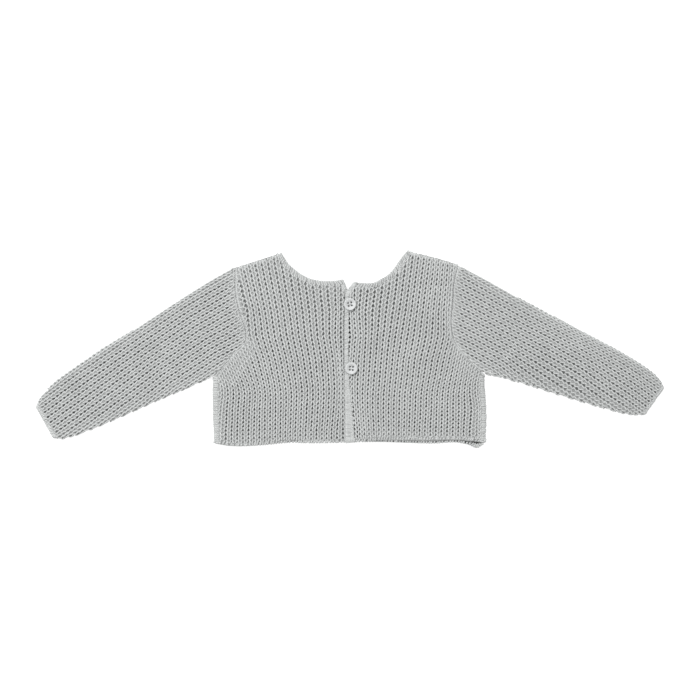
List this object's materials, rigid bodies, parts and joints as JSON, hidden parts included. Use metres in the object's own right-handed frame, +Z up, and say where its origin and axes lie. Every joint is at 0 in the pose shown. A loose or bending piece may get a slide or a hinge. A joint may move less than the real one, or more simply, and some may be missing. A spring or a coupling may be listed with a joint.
{
  "type": "knit shrug, a toddler's cropped cardigan laid flat",
  "caption": "Cropped long-sleeved knit cardigan for a toddler in heavy pale grey rib, laid flat and buttoned at the front, with a narrow neck band.",
  "frame": {"origin": "middle of the laid garment's outline, on the surface it lies on", "axes": "+Z up off the surface, +Y from the hem to the neck, +X to the right of someone looking down at the buttons with the neck away from them"},
  "size_m": [0.5968, 0.187, 0.0124],
  "materials": {
    "knit": "soft matt grey ribbed knit",
    "edging": "matt grey knitted edging",
    "buttons": "pale grey semi-gloss plastic"
  },
  "bodies": {
    "root": {"back": "knit", "front_left": "knit", "front_right": "knit", "sleeve_left": "knit", "sleeve_right": "knit", "neck_band_back": "edging", "neck_band_left": "edging", "neck_band_right": "edging", "front_edge_left": "edging", "front_edge_right": "edging", "button_upper": "buttons", "button_lower": "buttons"}
  },
  "joints": []
}
